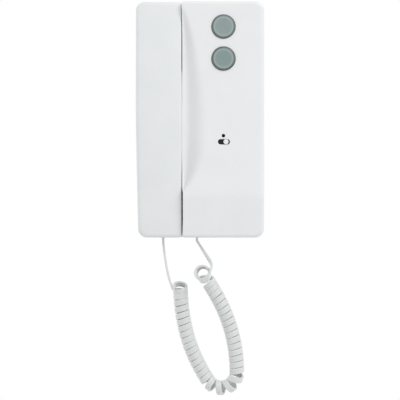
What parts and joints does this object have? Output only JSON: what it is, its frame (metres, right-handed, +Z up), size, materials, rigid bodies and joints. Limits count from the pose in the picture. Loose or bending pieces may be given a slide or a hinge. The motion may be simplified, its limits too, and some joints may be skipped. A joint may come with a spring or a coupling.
{
  "type": "wall audio door phone",
  "caption": "Wall-mounted audio door phone with a bowed handset in a cradle, round call buttons, a finger scoop, a lamp, a slide switch and a hanging curly cord.",
  "frame": {"origin": "middle of the rear housing's wall face, midway between the two wall screws", "axes": "+X to the right as seen from the front, +Y into the wall, +Z up"},
  "size_m": [0.114, 0.0518, 0.3525],
  "materials": {
    "shell_white": "white moulded plastic with a soft sheen",
    "button_grey": "cool grey moulded plastic",
    "black_plastic": "black moulded plastic",
    "clear_plastic": "clear moulded plastic",
    "cord_white": "soft white vinyl",
    "gasket_rubber": "soft black rubber",
    "board_green": "green solder resist",
    "steel": "plain steel"
  },
  "bodies": {
    "base": {"rear_housing": "shell_white", "front_cover": "shell_white", "cover_screw": "steel", "main_board": "board_green", "board_screws": "steel", "terminal_block": "button_grey", "terminal_screws": "steel", "upper_switch": "black_plastic", "lower_switch": "black_plastic", "status_lamp": "clear_plastic", "light_pipe": "black_plastic", "slide_switch": "black_plastic", "ringer": "black_plastic", "hook_switch": "black_plastic", "base_socket": "black_plastic", "base_plug": "clear_plastic", "cord_base_tail": "cord_white", "cord_coil": "cord_white", "cord_handset_tail": "cord_white"},
    "upper_button": {"upper_button": "button_grey", "upper_plunger": "black_plastic"},
    "lower_button": {"lower_button": "button_grey", "lower_plunger": "black_plastic"},
    "slider": {"slider_knob": "shell_white"},
    "hook": {"hook_plunger": "shell_white"},
    "handset": {"handset_plug": "clear_plastic", "handset_socket": "black_plastic", "handset_front_shell": "shell_white", "handset_rear_shell": "shell_white", "receiver": "black_plastic", "receiver_gasket": "gasket_rubber", "microphone": "steel", "microphone_boot": "gasket_rubber", "handset_weight": "steel", "handset_screws": "steel"}
  },
  "joints": [
    {"name": "handset_lift", "type": "slide", "parent": "base", "child": "handset", "axis": [0, -1, 0], "range_m": [0, 0.06]},
    {"name": "hook_rise", "type": "slide", "parent": "base", "child": "hook", "axis": [0, -1, 0], "range_m": [0, 0.003]},
    {"name": "upper_button_press", "type": "slide", "parent": "base", "child": "upper_button", "axis": [0, 1, 0], "range_m": [0, 0.0013], "stiffness_N_per_m": 400, "springref_m": -0.002},
    {"name": "lower_button_press", "type": "slide", "parent": "base", "child": "lower_button", "axis": [0, 1, 0], "range_m": [0, 0.0013], "stiffness_N_per_m": 400, "springref_m": -0.002},
    {"name": "slider_shift", "type": "slide", "parent": "base", "child": "slider", "axis": [-1, 0, 0], "range_m": [0, 0.0047]}
  ],
  "couplings": [
    {"joint": "hook_rise", "follows": "handset_lift", "ratio": 0.05}
  ]
}
